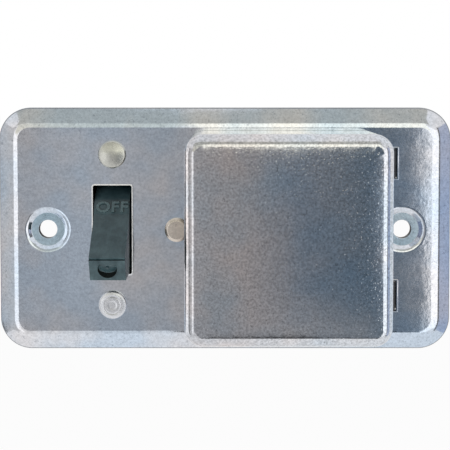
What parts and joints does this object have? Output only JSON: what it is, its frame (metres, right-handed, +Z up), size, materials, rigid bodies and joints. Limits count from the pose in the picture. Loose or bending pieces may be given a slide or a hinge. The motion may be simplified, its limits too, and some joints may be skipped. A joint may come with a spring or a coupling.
{
  "type": "fused toggle switch cover unit",
  "caption": "Drawn steel handy-box cover with a riveted black toggle switch and a hooked swinging lid over a plug-fuse screw holder.",
  "frame": {"origin": "midway between the two cover screw holes, in the plane of the box edge that the rim and the dimple floors seat on", "axes": "+X along the plate towards the lid, +Z up the wall, +Y into the wall; the lid and the toggle face -Y"},
  "size_m": [0.1064, 0.0465, 0.0572],
  "materials": {
    "zinc_plate": "bright zinc plate, bluish",
    "zinc_lid": "bright zinc plate, slightly darker",
    "rivet_steel": "zinc plated steel",
    "spring_wire": "drawn steel wire and strip",
    "tan_rivet": "dull tinned brass",
    "spring_bronze": "phosphor bronze strip",
    "contact_brass": "stamped brass",
    "screw_brass": "turned brass",
    "fibre": "vulcanised fibre sheet",
    "black_phenolic": "moulded phenolic",
    "toggle_black": "moulded phenolic, satin",
    "fuse_porcelain": "glazed porcelain",
    "fuse_glass": "clear"
  },
  "bodies": {
    "cover": {"cover_plate": "zinc_plate", "lid_springs": "spring_bronze", "switch_barrier": "fibre", "switch_case": "black_phenolic", "upper_rivet": "rivet_steel", "lower_rivet": "rivet_steel", "pivot_pin": "rivet_steel", "rocker_pin": "rivet_steel", "line_terminal": "contact_brass", "load_terminal": "contact_brass", "terminal_screws": "screw_brass", "jumper_strap": "contact_brass", "jumper_rivet": "screw_brass", "holder_body": "black_phenolic", "holder_rivets": "tan_rivet", "screw_shell": "screw_brass", "shell_terminal": "contact_brass", "centre_contact": "contact_brass", "centre_rivet": "screw_brass"},
    "lid": {"fuse_lid": "zinc_lid"},
    "toggle": {"toggle_lever": "toggle_black", "toggle_spring": "spring_wire", "spring_plunger": "contact_brass"},
    "rocker": {"contact_rocker": "contact_brass"},
    "plug_fuse": {"fuse_shell": "screw_brass", "fuse_body": "fuse_porcelain", "fuse_rim": "screw_brass", "fuse_window": "fuse_glass", "fuse_link": "spring_wire", "fuse_insulator": "fibre", "fuse_tip": "tan_rivet"}
  },
  "joints": [
    {"name": "toggle_throw", "type": "hinge", "parent": "cover", "child": "toggle", "pos_m": [-0.0264, 0.00606, 0], "axis": [-1, 0, 0], "range_deg": [0, 46]},
    {"name": "rocker_tilt", "type": "hinge", "parent": "cover", "child": "rocker", "pos_m": [-0.0264, 0.02196, 0], "axis": [1, 0, 0], "range_deg": [0, 20]},
    {"name": "lid_swing", "type": "hinge", "parent": "cover", "child": "lid", "pos_m": [0.0431, -0.00234, 0], "axis": [0, 0, 1], "range_deg": [0, 100]},
    {"name": "fuse_turn", "type": "hinge", "parent": "cover", "child": "plug_fuse", "pos_m": [0.0142, 0, 0], "axis": [0, -1, 0], "range_deg": [0, 90]}
  ],
  "couplings": [
    {"joint": "rocker_tilt", "follows": "toggle_throw", "ratio": 0.3913}
  ]
}
